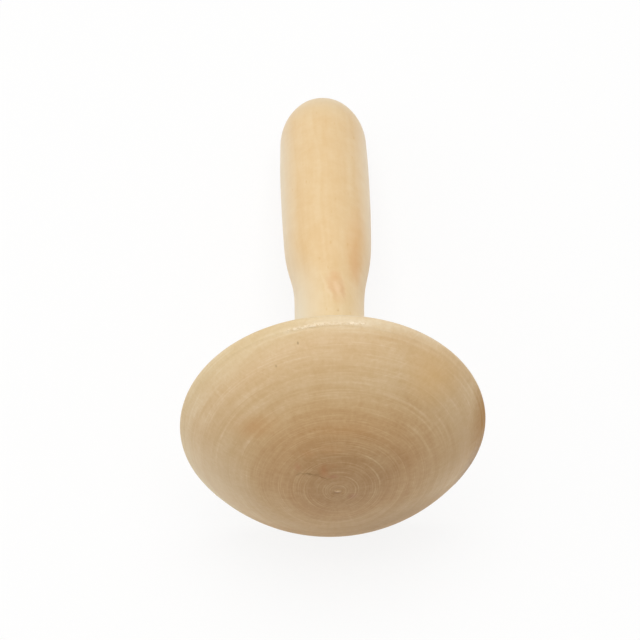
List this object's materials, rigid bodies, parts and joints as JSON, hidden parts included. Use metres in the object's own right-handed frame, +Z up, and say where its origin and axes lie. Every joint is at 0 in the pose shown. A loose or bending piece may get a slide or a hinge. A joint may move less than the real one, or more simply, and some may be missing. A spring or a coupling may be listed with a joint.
{
  "type": "darning mushroom",
  "caption": "Turned wooden darning mushroom: a shallow domed head to stretch cloth over, on a waisted handle with a fat grip and a rounded end.",
  "frame": {"origin": "on the ground, under the middle of the piece as it lies on its side", "axes": "+Z is up. The turning axis lies in the YZ plane: the dome faces -Y and the handle points to +Y, sloping down by 13.73 degrees, so that the rim and the handle's end rest on the ground. X runs across the head."},
  "size_m": [0.075, 0.1376, 0.0729],
  "materials": {
    "head_wood": "fine-sanded and waxed, satin, end grain on the dome",
    "handle_wood": "fine-sanded and waxed, satin, long grain"
  },
  "bodies": {
    "root": {"head": "head_wood", "handle": "handle_wood"}
  },
  "joints": []
}
